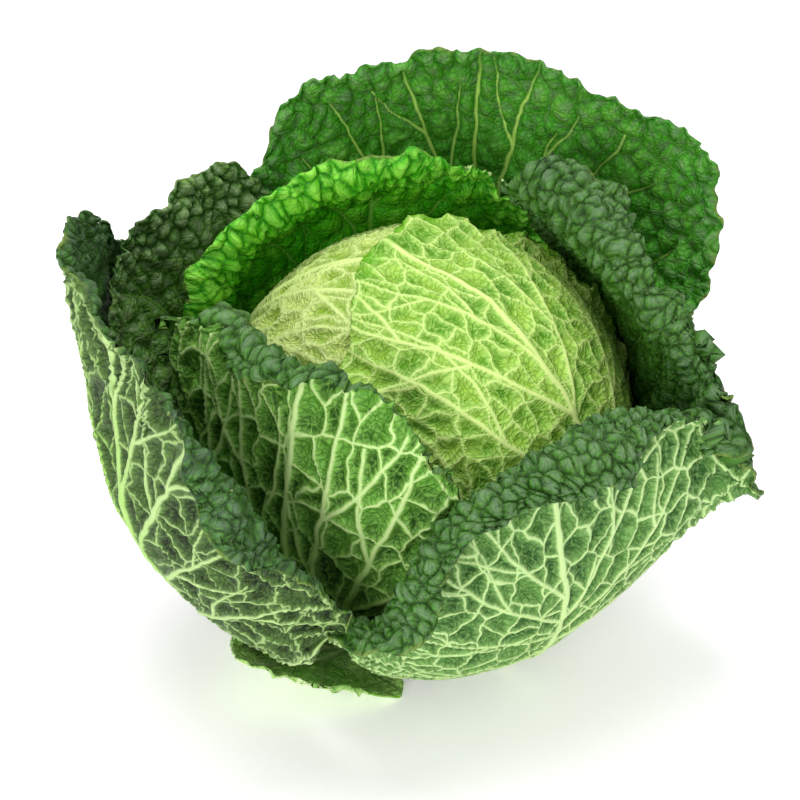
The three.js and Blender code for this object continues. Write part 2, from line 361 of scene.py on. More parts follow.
# Flat outline of the blade: s runs along it from 0 to 1, and t across it from -1 to 1.
def flatBlade(leaf, s, t):
    late = np.clip((s - 0.5) / 0.5, 0, 1)
    tRound = t * np.sqrt(1 - leaf["round"] * late ** 2)
    s = np.where(s > 0.5, 0.5 + 0.5 * late * np.sqrt(1 - leaf["round"] * t ** 2), s)
    start = petiole["halfWidth"]
    grown = start + (leaf["width"] - start) * smooth(0, leaf["belly"], s)
    tail = np.clip(s - leaf["full"], 0, None) / (1 - leaf["full"])
    narrowed = np.sqrt(np.clip(1 - (1 - leaf["tip"] ** 2) * tail ** 2, 0, 1))
    x = tRound * grown * narrowed * (1 + leaf["skew"] * np.sign(t))
    most = leaf["most"]
    x = np.where(x > most, most + (x - most) * 0.2, x)
    drop = np.where(t < 0, leaf["drop"][0], leaf["drop"][1])
    y = leaf["length"] * (s - drop * s ** 2 * tRound ** 2)
    # the margin moves in and out from a middle point of the blade
    edge = np.maximum(np.abs(t), np.clip((s - 0.55) / 0.45, 0, 1))
    dx, dy = x, y - 0.45 * leaf["length"]
    around = np.arctan2(dx, dy) / (2 * math.pi)
    girth = girthOf(leaf)
    seed = leaf["veins"]["seed"]
    lobe, notch, tooth = leaf["frill"]
    lobes = lobe * waves(around, girth / leaf["lobe"], seed) + notch * waves(around, girth / margin["notch"], seed + 50)
    teeth = tooth * waves(around, girth / margin["teeth"], seed + 90)
    reach = np.maximum(np.hypot(dx, dy), 1)
    calm = smooth(*margin["calm"], s)
    push = (lobes + leaf["spare"]) * smooth(margin["lobesFrom"], 1, edge) + teeth * smooth(margin["teethFrom"], 1, edge)
    push = push * calm
    return x + push * dx / reach, y + push * dy / reach, edge * calm, around * girth


# Middle surface of a leaf in the head's frame: rows along it and columns across it.
def leafSurface(leaf, s, t):
    midrib = midribOf(leaf)
    x, y, edge, around = flatBlade(leaf, s, t)
    points = bladePoint(leaf, midrib, x, y)
    seed = leaf["veins"]["seed"]
    big, small = leaf["ruffle"]
    girth = girthOf(leaf)
    turn = around / girth
    rise = big * waves(turn, girth / margin["ruffle"], seed + 7) * smooth(margin["ruffleFrom"], 1, edge)
    rise += small * waves(turn, girth / leaf["crimp"], seed + 17) * smooth(leaf["crimpFrom"], 1, edge)
    free = smooth(0.35, 0.8, y / leaf["length"]) if "hug" in leaf else 0
    wide, narrow = margin["swells"]
    rise += free * leaf["swell"] * (hills(x, y, wide, seed + 3) + 0.4 * hills(x, y, narrow, seed + 4))
    rise += leaf["lift"] * smooth(0.8, 1, edge)
    return points + gridNormals(points) * rise[..., None], x, y, edge


leanMatrix = np.array([
    [1, 0, 0],
    [0, math.cos(headLean), -math.sin(headLean)],
    [0, math.sin(headLean), math.cos(headLean)]])


def toWorld(points):
    return points @ leanMatrix.T + np.array(headCentre) / mm


# What would sink into the table comes to rest on it, with a soft landing.
def settle(points):
    rest, landing = table["rest"], table["landing"]
    sunk = (landing + rest - points[..., 2]) / (2 * landing)
    landed = rest + landing * (1 - np.minimum(sunk, 1)) ** 2
    points[..., 2] = np.where(sunk > 0, landed, points[..., 2])
    return points


placedLeaves = []


# How far a leaf moves inwards to stay under a leaf that lies over it.
def tuckUnder(points, outer, clear):
    tree, flat, normals, rim = outer
    shift = np.zeros_like(points)
    for index in np.ndindex(points.shape[:2]):
        point = points[index]
        place, found, away = tree.find(Vector(point))
        if away > tuck["reach"] + tuck["behind"]:
            continue
        off = point - flat[found]
        depth = off @ normals[found]
        aside = np.linalg.norm(off - depth * normals[found])
        if -clear < depth < tuck["reach"] and aside < (tuck["asideAtRim"] if rim[found] else tuck["aside"]):
            shift[index] = -(clear + depth) * normals[found]
    return shift


def softened(field, rounds):
    for _ in range(rounds):
        padded = np.pad(field, ((1, 1), (1, 1), (0, 0)), mode="edge")
        field = (padded[:-2, 1:-1] + padded[2:, 1:-1] + padded[1:-1, :-2] + padded[1:-1, 2:] + 2 * field) / 6
    return field


def remember(points):
    flat = points.reshape(-1, 3)
    tree = kdtree.KDTree(len(flat))
    for index, point in enumerate(flat):
        tree.insert(Vector(point), index)
    tree.balance()
    rim = np.zeros(points.shape[:2], bool)
    rim[0] = rim[-1] = rim[:, 0] = rim[:, -1] = True
    placedLeaves.append((tree, flat, gridNormals(points).reshape(-1, 3), rim.ravel()))


# Values of a coarse grid at s and t, straight between its points.
def spread(field, s, t):
    rows, columns = field.shape[:2]
    row = np.clip(s * (rows - 1), 0, rows - 1.001)
    column = np.clip((t + 1) / 2 * (columns - 1), 0, columns - 1.001)
    r, c = row.astype(int), column.astype(int)
    u, v = (row - r)[..., None], (column - c)[..., None]
    low = field[r, c] * (1 - v) + field[r, c + 1] * v
    high = field[r + 1, c] * (1 - v) + field[r + 1, c + 1] * v
    return low * (1 - u) + high * u


# The shift that keeps a leaf inside all the leaves that were placed before it.
def tuckedIn(leaf):
    s, t = np.meshgrid(np.linspace(0, 1, tuck["rows"]), np.linspace(-1, 1, tuck["columns"]), indexing="ij")
    surface = leafSurface(leaf, s, t)[0]
    base = surface.copy()
    for outer in placedLeaves:
        surface = surface + softened(tuckUnder(surface, outer, leaf["clear"]), 2)
    remember(surface)
    return surface - base


def setAttribute(mesh, name, kind, values):
    made = mesh.attributes.new(name, kind, "POINT")
    field = "vector" if kind == "FLOAT_VECTOR" else "value"
    made.data.foreach_set(field, np.ascontiguousarray(values, np.float32).ravel())


def attributeOf(net, name, kind="FLOAT"):
    return net.node("GeometryNodeInputNamedAttribute", {"data_type": kind}, {"Name": name})


# What the relief of all leaves shares. The band is how fast the pebbled margin begins.
ground = {"band": 0.22, "pebbleRandom": 0.9, "round": 0.4, "lump": 16, "small": 0.3, "veinEdge": (-2.2, 1.2),
          "calmFrom": (0, 0.12), "rim": (0.96, 1), "rimCalm": 0.6, "thickness": 0.8}


# The pockets between the veins push the blade inwards on its outer side, so that they stand up as blisters inside.
def reliefTree(name, leaf):
    tree = bpy.data.node_groups.new(name, "GeometryNodeTree")
    tree.interface.new_socket("Geometry", in_out="INPUT", socket_type="NodeSocketGeometry")
    net = Net(tree)
    given = net.node("NodeGroupInput")
    edge = attributeOf(net, "edge")
    pattern = veinPattern(net, leaf, attributeOf(net, "blade", "FLOAT_VECTOR"))
    relief = leaf["relief"]
    band = edge.step(relief["pebbleFrom"], relief["pebbleFrom"] + ground["band"])
    pebble = net.cells(pattern["wobble"], relief["pebble"], ground["pebbleRandom"])
    pebble = dome(pebble, relief["pebble"] * ground["round"])
    pocket = dome(pattern["near"], relief["reach"])
    small = dome(pattern["fine"], leaf["veins"]["fineCell"] * ground["round"])
    lump = net.noise(pattern["seeded"], ground["lump"]) - 0.5
    height = pocket * -relief["pocket"] - pocket * small * relief["fine"]
    height = height + lump * relief["lump"] - (pebble + small * ground["small"]) * band * relief["pebbleRise"]
    height = height + (1 - pattern["main"].step(*ground["veinEdge"])) * relief["vein"]
    height = height * attributeOf(net, "calm") * mm
    offset = net.grow(net.node("GeometryNodeInputNormal"), height)
    net.finish({"Geometry": net.node("GeometryNodeSetPosition", {}, {"Geometry": given, "Offset": offset})})
    return tree


def selectOnly(piece):
    bpy.ops.object.select_all(action="DESELECT")
    piece.select_set(True)
    bpy.context.view_layer.objects.active = piece


def applyModifier(piece, kind, settings):
    modifier = piece.modifiers.new(kind.lower(), kind)
    for name, value in settings.items():
        setattr(modifier, name, value)
    bpy.context.view_layer.objects.active = piece
    bpy.ops.object.modifier_apply(modifier=modifier.name)


def declare(piece, name):
    selectOnly(piece)
    bpy.ops.object.shade_smooth()
    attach(piece, "root")
    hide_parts(name)
    print(name, len(piece.data.polygons), "faces")


def makeLeaf(name, leaf):
    tucked = tuckedIn(leaf)
    bpy.ops.object.select_all(action="DESELECT")
    columns, rows = (int(count * (detail + 1) / 2) for count in leaf["grid"])
    bpy.ops.mesh.primitive_grid_add(x_subdivisions=columns, y_subdivisions=rows, size=2)
    piece = bpy.context.object
    piece.name = name.replace("_", " ").title().replace(" ", "")
    mesh = piece.data
    places = np.empty(len(mesh.vertices) * 3)
    mesh.vertices.foreach_get("co", places)
    places = places.reshape(-1, 3)
    acrossCount = len(np.unique(np.round(places[:, 0], 5)))
    grid = places.reshape(-1, acrossCount, 3)
    t, s = grid[..., 0], (grid[..., 1] + 1) / 2
    points, x, y, edge = leafSurface(leaf, s, t)
    points = settle(toWorld(points + spread(tucked, s, t)))
    mesh.vertices.foreach_set("co", (points * mm).ravel())
    setAttribute(mesh, "blade", "FLOAT_VECTOR", np.stack([x, y, 0 * x], -1))
    calm = smooth(*ground["calmFrom"], s) * (1 - ground["rimCalm"] * smooth(*ground["rim"], edge))
    setAttribute(mesh, "calm", "FLOAT", calm)
    setAttribute(mesh, "edge", "FLOAT", edge)
    mesh.update()
    applyModifier(piece, "NODES", {"node_group": reliefTree(piece.name + "Relief", leaf)})
    veins = veinGroup(piece.name + "Veins", leaf)
    mesh.materials.append(leafMaterial(piece.name + "Outside", leaf, "outside", veins))
    mesh.materials.append(leafMaterial(piece.name + "Inside", leaf, "inside", veins))
    applyModifier(piece, "SOLIDIFY", {"thickness": ground["thickness"] * mm, "offset": 0,
                                      "material_offset": 1, "material_offset_rim": 1})
    declare(piece, name)


# Finishes
def colour(red, green, blue):
    shares = (value / 255 for value in (red, green, blue))
    return tuple(share / 12.92 if share < 0.04045 else ((share + 0.055) / 1.055) ** 2.4 for share in shares) + (1,)


def veinGroup(name, leaf):
    tree = bpy.data.node_groups.new(name, "ShaderNodeTree")
    net = Net(tree)
    place = net.node("ShaderNodeAttribute", {"attribute_name": "blade"}, {}, "Vector")
    edge = net.node("ShaderNodeAttribute", {"attribute_name": "edge"}, {}, "Fac")
    pattern = veinPattern(net, leaf, place)
    across = net.node("ShaderNodeSeparateXYZ", {}, {0: place})
    relief = leaf["relief"]
    pattern["edge"] = edge
    pattern["across"], pattern["along"] = across, across.also(1)
    pattern["pebble"] = net.cells(pattern["wobble"], relief["pebble"], ground["pebbleRandom"])
    pattern["tiny"] = net.cells(net.vectors("ADD", pattern["wobble"], (9.4, 2.3, 0)), shared["tiny"])
    pattern["band"] = edge.step(relief["pebbleFrom"], relief["pebbleFrom"] + ground["band"])
    net.finish(pattern)
    return tree


# What the colours of all leaves share: sizes and reaches in mm, and the shares in which a colour is laid on.
shared = {"patch": 20, "patches": (0.38, 0.62), "speck": 2.2, "specks": (0.42, 0.68), "speckShare": 0.4, "tiny": 2.3,
          "wrinkle": (0.1, 0.5), "foldReach": 0.5, "foldShare": 0.35, "meshEdge": (-0.1, 0.35),
          "mainEdge": (-0.5, 0.5), "groove": 1.0, "grooveShare": 0.6, "shadeReach": (0.2, 1.6), "bandFade": 0.85,
          "stemSpan": (0.3, 0.72), "stemReach": 90, "stemFrom": 20, "frost": 0.55, "frostSpan": 0.35,
          "frostEdge": (0.4, 2.2), "rimPatch": 7, "rimPatches": (0.4, 0.6),
          "wrinkleDome": (1.5, 0.6), "foldDome": (0.9, 0.5), "bump": 0.9, "depth": 0.7}


def leafMaterial(name, leaf, side, veins):
    material = bpy.data.materials.new(name)
    material.use_nodes = True
    tree = material.node_tree
    net = Net(tree)
    shader = tree.nodes["Principled BSDF"]
    look = leaf[side]
    pattern = net.node("ShaderNodeGroup", {"node_tree": veins})
    seeded, near, band, fine, pebble, tiny, edge = (
        pattern.also(key) for key in ("seeded", "near", "band", "fine", "pebble", "tiny", "edge"))
    flesh = net.mix(net.noise(seeded, shared["patch"]).step(*shared["patches"]), look["dark"], look["light"])
    specks = net.noise(seeded, shared["speck"]).step(*shared["specks"])
    flesh = net.mix(specks * shared["speckShare"], flesh, look["skirt"])
    # the flesh pales towards the veins and along the small wrinkles
    flesh = net.mix(1 - dome(near, look["skirtReach"]), flesh, look["skirt"])
    flesh = net.mix((1 - fine.step(*shared["wrinkle"])) * look["fineLine"], flesh, look["skirt"])
    flesh = net.mix((1 - tiny.step(0.0, shared["foldReach"])) * shared["foldShare"], flesh, look["fold"])
    lines = (1 - pattern.also("mesh").step(*shared["meshEdge"])) * look["meshLine"]
    lines = lines.maths("MAXIMUM", (1 - pattern.also("main").step(*shared["mainEdge"])) * look["mainLine"])
    if side == "inside":
        # the margin is pebbled, with painted shade in the grooves between its pebbles and beside its veins, and its
        # veins fade
        # painted shade: the groove colour darkens the walls between the pebbles and the flesh close to the veins
        groove = 1 - pebble.step(0.0, shared["groove"])
        flesh = net.mix(band * groove * shared["grooveShare"], flesh, look["groove"])
        flesh = net.mix((1 - near.step(*shared["shadeReach"])) * look["shade"], flesh, look["groove"])
        lines = lines * (1 - band * shared["bandFade"])
    stemFrom, stemTo = look.get("stemSpan", shared["stemSpan"])
    stem = 1 - pattern.also("along").step(leaf["length"] * stemFrom, leaf["length"] * stemTo)
    stemReach = look.get("stemReach", shared["stemReach"])
    stem = stem * (1 - abs(pattern.also("across")).step(shared["stemFrom"], stemReach))
    body = net.mix(lines, flesh, net.mix(stem, look["vein"], look["stem"]))
    # the pebble tops towards the margin take the leaf's grey waxy bloom together with a painted sheen
    if "bloom" in look:
        frost = edge.step(look["bloomFrom"], look["bloomFrom"] + shared["frostSpan"])
        frost = frost * pebble.step(*shared["frostEdge"])
        body = net.mix(frost * (1 - lines) * shared["frost"], body, look["bloom"])
    if "tips" in look:
        rim = edge.step(look["tipsFrom"], 1.0) * net.noise(seeded, shared["rimPatch"]).step(*shared["rimPatches"])
        body = net.mix(rim, body, look["tips"])
    tree.links.new(body.socket, shader.inputs["Base Color"])
    (wrinkle, wrinkleHeight), (fold, foldHeight) = shared["wrinkleDome"], shared["foldDome"]
    height = dome(fine, wrinkle) * wrinkleHeight + dome(tiny, fold) * foldHeight
    bump = net.node("ShaderNodeBump", {"invert": side == "outside"}, {
        "Strength": (1 - lines) * shared["bump"], "Distance": shared["depth"] * mm, "Height": height})
    tree.links.new(bump.socket, shader.inputs["Normal"])
    shader.inputs["Roughness"].default_value = look["rough"]
    shader.inputs["Specular IOR Level"].default_value = look["gloss"]
    return material


# The looks of a leaf's outer and inner sides. The flesh is dark to light in patches, its skirt lies along the veins,
# fold is its dark lines, groove is painted shade in the grooves and beside the veins, bloom is the grey waxy bloom on
# the pebble tops together with a painted sheen, and stem is the veins' colour near the stalk.
darkOutside = {
    "dark": colour(24, 58, 6), "light": colour(62, 118, 28), "skirt": colour(110, 164, 64), "fold": colour(20, 52, 8),
    "vein": colour(206, 234, 156), "stem": colour(168, 236, 56), "fineLine": 0.5, "skirtReach": 2.4, "meshLine": 0.85,
    "mainLine": 1.0, "rough": 0.5, "gloss": 0.28}
leftOutside = {
    **darkOutside, "dark": colour(22, 40, 12), "light": colour(60, 88, 34), "skirt": colour(98, 136, 62),
    "fold": colour(22, 38, 12), "vein": colour(176, 206, 132), "stem": colour(150, 206, 74), "stemReach": 80,
    "stemSpan": (0.65, 1.0), "fineLine": 0.35, "meshLine": 0.62}
frontOutside = {
    **darkOutside, "dark": colour(42, 88, 16), "light": colour(94, 156, 50), "skirt": colour(142, 200, 88)}
rightOutside = {
    **darkOutside, "dark": colour(40, 90, 28), "light": colour(84, 136, 56), "skirt": colour(136, 182, 98),
    "fold": colour(36, 82, 22), "vein": colour(198, 228, 154), "stem": colour(202, 230, 152)}
darkInside = {
    "dark": colour(42, 88, 18), "light": colour(72, 122, 36), "skirt": colour(80, 146, 36), "fold": colour(18, 50, 8),
    "groove": colour(8, 28, 3), "vein": colour(116, 168, 66), "stem": colour(134, 190, 70), "shade": 0.45,
    "fineLine": 0.25, "skirtReach": 4.0, "meshLine": 0.3, "mainLine": 0.75, "rough": 0.5, "gloss": 0.32,
    "bloom": colour(112, 140, 104), "bloomFrom": 0.4, "tips": colour(112, 140, 58), "tipsFrom": 0.98}
backInside = {
    **darkInside, "dark": colour(58, 122, 24), "light": colour(100, 166, 54), "skirt": colour(70, 176, 20),
    "groove": colour(20, 84, 4), "fold": colour(30, 92, 10), "vein": colour(184, 226, 108), "mainLine": 1.0,
    "bloom": colour(98, 128, 84), "bloomFrom": 0.5}
leftInside = {
    **darkInside, "dark": colour(38, 72, 26), "light": colour(58, 98, 42), "bloom": colour(92, 112, 92)}
leftBackInside = {
    **darkInside, "dark": colour(78, 116, 42), "light": colour(118, 156, 76), "bloom": colour(146, 168, 124),
    "bloomFrom": 0.35}
brightInside = {
    **darkInside, "dark": colour(56, 160, 8), "light": colour(124, 204, 46), "skirt": colour(84, 212, 8),
    "fold": colour(34, 138, 2), "groove": colour(20, 112, 2), "vein": colour(140, 200, 76),
    "stem": colour(160, 214, 90), "bloom": colour(160, 230, 90), "bloomFrom": 0.6}
headOutside = {
    "dark": colour(84, 148, 14), "light": colour(154, 198, 64), "skirt": colour(180, 220, 110),
    "fold": colour(90, 152, 26), "tips": colour(104, 178, 20), "tipsFrom": 0.9, "vein": colour(216, 238, 144),
    "stem": colour(224, 240, 168), "fineLine": 0.55, "skirtReach": 2.6, "meshLine": 0.75, "mainLine": 1.0,
    "rough": 0.48, "gloss": 0.28}
headLeftOutside = {
    **headOutside, "dark": colour(136, 176, 38), "light": colour(200, 224, 118), "skirt": colour(214, 234, 150),
    "fold": colour(150, 182, 64), "fineLine": 0.2, "tips": colour(124, 188, 28)}
headInside = {
    **brightInside, "dark": colour(90, 164, 26), "light": colour(136, 192, 50), "skirt": colour(130, 196, 60)}
lowBothSides = {
    **rightOutside, "dark": colour(122, 184, 74), "light": colour(176, 220, 120), "groove": colour(90, 156, 50),
    "skirt": colour(196, 232, 146), "fold": colour(96, 160, 54), "vein": colour(234, 248, 200), "shade": 0.0,
    "tips": colour(130, 190, 60), "tipsFrom": 0.97}

# A lateral vein starts this far up the midrib, leans and turns by degrees, and has its length and half its width.
fanOut = [(35, 62, -12, 110, 1.3), (70, 50, -14, 130, 1.4), (108, 38, -10, 120, 1.3), (150, 30, -6, 95, 1.1),
          (50, -60, 14, 115, 1.3), (88, -46, 12, 130, 1.4), (128, -34, 8, 110, 1.2), (172, -26, 6, 80, 1.0)]
ordinaryVeins = {"seed": 1, "wander": 8.0, "crook": 3.0, "wobble": 8.0, "weight": 0.62, "rib": 1.7, "ribLean": (0, 0),
                 "laterals": fanOut, "cell": 11.5, "stretch": 1.35, "net": 0.25, "fineCell": 4.6}
ordinaryRelief = {"reach": 5.6, "pocket": 2.9, "fine": 0.9, "lump": 2.0, "vein": 0.9, "pebble": 6.0, "pebbleRise": 2.1,
                  "pebbleFrom": 0.62}
ordinaryLeaf = {"grid": (150, 160), "skew": 0, "most": 999, "turn": 0, "late": 0, "flare": (0.15, 0.8), "lift": 0,
                "frill": (3.0, 2.6, 1.8), "lobe": 26, "spare": 0, "ruffle": (3.5, 2.4), "crimp": 11, "crimpFrom": 0.75,
                "swell": 2.5, "round": 0.25, "clear": 2.2, "outside": darkOutside, "inside": darkInside}


def leafWith(veins=None, relief=None, **rest):
    own = {"veins": {**ordinaryVeins, **(veins or {})}, "relief": {**ordinaryRelief, **(relief or {})}}
    return {**ordinaryLeaf, **rest, **own}


# The leaves, outermost first. The azimuth is round the head from the front, and layer is how far out the leaf wraps
# it. Width is half of it. Belly, full, tip, skew, drop and round draw the outline. The leaf hugs the head up to an
# angle, opens by turn and late, and its sides open from the head's curve to the two radii of cup.
lowLeaf = leafWith(
    azimuth=-42, layer=104, length=112, width=40, belly=0.5, full=0.5, tip=0.4, drop=(0.22, 0.22), hug=20, turn=32,
    cup=(115, 115), grid=(85, 110), ruffle=(2.5, 1.0), frill=(2, 1.2, 0.6), round=0.6, swell=1,
    outside=lowBothSides, inside=lowBothSides, relief={"pebbleFrom": 1.5, "pocket": 1.6},
    veins={"seed": 3, "laterals": [
        (20, 50, -10, 50, 1), (50, 42, -10, 45, 1), (30, -50, 10, 50, 1), (62, -40, 8, 40, 1)]})
rightFrontLeaf = leafWith(
    azimuth=39.6, layer=99.5, length=231, width=100, skew=-0.13, belly=0.38, full=0.62, tip=0.72, drop=(0.1, 0.25),
    hug=89, turn=50, cup=(149, -126), flare=(0.15, 0.87), grid=(160, 175), outside=rightOutside,
    roll={"centre": (-7, 120), "radius": 68, "square": 2.8, "bend": 12, "turn": 165, "sector": (-66, 70)},
    relief={"pebbleFrom": 0.5, "pebble": 5.2},
    veins={"seed": 5, "ribLean": (-8, 8), "laterals": [
        (112, 34, -14, 110, 1.5), (100, 62, -44, 90, 1.3), (92, 84, 6, 110, 1.5), (60, 96, 0, 100, 1.2),
        (126, -36, 4, 80, 1.3), (110, -52, 12, 90, 1.3), (98, -76, 10, 80, 1.2), (84, -104, -14, 90, 1.3)]})
backLeaf = leafWith(
    azimuth=169, layer=97, length=249, width=114, skew=-0.12, belly=0.5, full=0.62, tip=0.85, drop=(0.09, 0.1),
    hug=69.5, turn=24, late=9, cup=(191, 310), flare=(0.34, 1), grid=(150, 170), inside=backInside, ruffle=(6, 2.6),
    frill=(5.0, 3.0, 2.0), lobe=42, round=0.12,
    relief={"pebbleFrom": 0.8, "pebbleRise": 0.7, "pocket": 3.8, "reach": 4.2},
    veins={"seed": 7, "cell": 9, "weight": 0.95, "net": 0.0, "laterals": [
        (150, 19, 2, 95, 1.3), (118, 33, -4, 120, 1.3), (80, 48, -8, 130, 1.3), (40, 62, -10, 120, 1.2),
        (128, -12, 0, 125, 1.4), (100, -30, 4, 140, 1.3), (78, -45, 4, 140, 1.3), (50, -60, 6, 120, 1.2)]})
leftLeaf = leafWith(
    azimuth=-80.5, layer=97.5, length=263, width=140, skew=0.2, belly=0.63, full=0.75, tip=0.68, drop=(0.25, 0.03),
    hug=4, turn=115, late=-30, cup=(134, 128), flare=(0.07, 0.5), most=138, grid=(165, 180), round=0.3, spare=3,
    roll={"centre": (41, 165), "radius": 93, "bend": 5, "turn": 170, "sector": (-5, 60), "fade": 34},
    frill=(6, 3, 1.5), lobe=34, outside=leftOutside, inside=leftInside, relief={"pebble": 4.6, "pebbleRise": 1.9},
    veins={"seed": 9, "ribLean": (34, -46), "rib": 2.8, "cell": 15, "fineCell": 6, "weight": 0.85, "laterals": [
        (212, 16, -6, 60, 1.2), (180, 22, -8, 90, 1.4), (150, 30, -4, 110, 1.5), (128, 46, 0, 95, 1.4),
        (108, 60, 6, 110, 1.4), (84, 80, 4, 110, 1.3), (160, -34, 10, 110, 1.3), (110, -44, 12, 120, 1.3),
        (60, -58, 12, 120, 1.3)]})
rightLowLeaf = leafWith(
    azimuth=72, layer=93, length=152, width=54, belly=0.5, full=0.55, tip=0.6, drop=(0.22, 0.22), hug=66, turn=6,
    cup=(92, 92), grid=(60, 90), ruffle=(2, 1), swell=1, veins={"seed": 11})
leftBackLeaf = leafWith(
    azimuth=-131, layer=93, length=206, width=80, skew=0.15, belly=0.7, full=0.7, tip=0.82, drop=(0.4, 0.05),
    hug=63, turn=20, late=-5, cup=(88, -180), flare=(0.42, 1), grid=(115, 135), inside=leftBackInside,
    veins={"seed": 13, "cell": 9.0}, clear=5.5)
rightLeaf = leafWith(
    azimuth=115, layer=90, length=245, width=82, skew=-0.35, belly=0.95, full=0.75, tip=0.68, drop=(0.22, 0.05),
    hug=86, turn=54, late=-20, cup=(668, 210), flare=(0.42, 0.66), grid=(110, 170), frill=(7, 4, 2), lobe=36, spare=-6,
    roll={"centre": (45, 56), "radius": 165, "bend": 7, "turn": 130},
    relief={"pebbleFrom": 0.3, "pebble": 5.0}, veins={"seed": 15})
frontLeaf = leafWith(
    azimuth=-43, layer=90, length=228, width=112, skew=-0.03, belly=0.4, full=0.45, tip=0.6, drop=(0.2, 0.12),
    hug=80, turn=32, cup=(170, 98), flare=(0.25, 0.85), grid=(160, 175), outside=frontOutside,
    roll={"centre": (0, 23), "radius": 187.5, "bend": 4.5, "turn": 170}, relief={"pebbleFrom": 0.72, "pebble": 5.0},
    veins={"seed": 17, "ribLean": (4, 0), "cell": 13, "fineCell": 5.2, "weight": 0.8, "laterals": [
        (66, -30, 24, 140, 1.5), (70, -14, 10, 140, 1.5), (62, 20, -18, 150, 1.6), (52, 36, -26, 150, 1.7),
        (44, 52, -20, 140, 1.5), (34, 70, -16, 130, 1.3), (40, -46, 26, 140, 1.4), (24, -64, 24, 120, 1.2)]})
collarLeaf = leafWith(
    azimuth=-163.5, layer=87, length=226, width=100, skew=0.12, belly=0.4, full=0.5, tip=0.88, drop=(0.22, 0.05),
    hug=74.5, turn=54, late=39, cup=(120, 120), grid=(130, 140), inside=brightInside,
    roll={"centre": (0, 68), "radius": 145, "bend": 8, "turn": 60}, relief={"pebbleFrom": 0.5}, veins={"seed": 19})
headFront = leafWith(
    azimuth=53, layer=84, length=268, width=80, skew=0.02, belly=0.4, full=0.7, tip=0.78, drop=(0.05, 0.05),
    grid=(130, 190), outside=headOutside, inside=headInside, ruffle=(0.8, 3.0), crimp=7, crimpFrom=0.88, lift=6.0,
    frill=(3, 4, 4), relief={"pocket": 2.2, "lump": 0.8, "pebbleRise": 0.5, "pebbleFrom": 0.9},
    veins={"seed": 21, "rib": 1.5, "cell": 9.5, "net": 0.08, "weight": 0.56, "laterals": [
        (160, 26, 6, 100, 1.3), (114, 32, 4, 130, 1.3), (60, 42, 0, 140, 1.2), (187, -20, 4, 80, 1.0),
        (163, -40, 36, 120, 1.4), (118, -44, 48, 160, 1.4), (60, -50, 40, 160, 1.2)]})
headLeft = leafWith(
    azimuth=-110, layer=85, length=268, width=100, belly=0.5, full=0.6, tip=0.6, drop=(0.1, 0.1), grid=(115, 145),
    outside=headLeftOutside, inside=headInside, ruffle=(0.4, 0.4), clear=4.2,
    relief={"pocket": 1.8, "lump": 0.7, "pebbleRise": 0.5, "pebbleFrom": 0.85},
    veins={"seed": 23, "net": 0.1, "laterals": [
        (146, 14, 0, 100, 1.3), (120, 30, -4, 120, 1.2), (80, 45, -8, 120, 1.2), (150, -38, 6, 90, 1.3),
        (120, -44, 8, 110, 1.2), (80, -55, 10, 120, 1.2)]})
headBack = leafWith(
    azimuth=150, layer=78.5, length=250, width=85, belly=0.5, full=0.55, tip=0.6, drop=(0.22, 0.22), grid=(80, 110),
    outside=headOutside, inside=headInside, ruffle=(0.3, 0.3), clear=3.4,
    relief={"pocket": 1.0, "lump": 0.6, "pebbleRise": 0.5, "pebbleFrom": 0.85}, veins={"seed": 25})

for name, leaf in (
        ("low_leaf", lowLeaf), ("right_front_leaf", rightFrontLeaf), ("back_leaf", backLeaf), ("left_leaf", leftLeaf),
        ("right_low_leaf", rightLowLeaf), ("left_back_leaf", leftBackLeaf), ("right_leaf", rightLeaf),
        ("front_leaf", frontLeaf), ("collar_leaf", collarLeaf), ("head_leaf_front", headFront),
        ("head_leaf_left", headLeft), ("head_leaf_back", headBack)):
    makeLeaf(name, leaf)


def applyPlace(piece):
    selectOnly(piece)
    bpy.ops.object.transform_apply(location=True, rotation=True, scale=True)


def finishOf(name, look):
    material = bpy.data.materials.new(name)
    material.use_nodes = True
    net = Net(material.node_tree)
    shader = material.node_tree.nodes["Principled BSDF"]
    shader.inputs["Roughness"].default_value = look["rough"]
    place = net.grow(net.node("ShaderNodeTexCoord", {}, {}, "Object"), 1 / mm)
    return material, net, shader, place


def bumped(net, look, height, invert):
    inputs = {"Strength": look["bump"], "Distance": look["depth"] * mm, "Height": height}
    return net.node("ShaderNodeBump", {"invert": invert}, inputs)


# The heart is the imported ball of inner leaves, seen only through the gaps between the head's leaves.
heart = {"segments": 96, "rings": 60, "shrink": 3.2, "crumple": 2.4, "creaseSize": 14, "cell": 9, "wall": (0.1, 0.7),
         "patch": 22, "patches": (0.36, 0.64), "dome": 2.5, "grain": 2.0, "grainHeight": 0.3, "bump": 0.8, "depth": 1.0,
         "dark": colour(120, 170, 60), "light": colour(186, 214, 120), "vein": colour(222, 238, 176), "rough": 0.5}


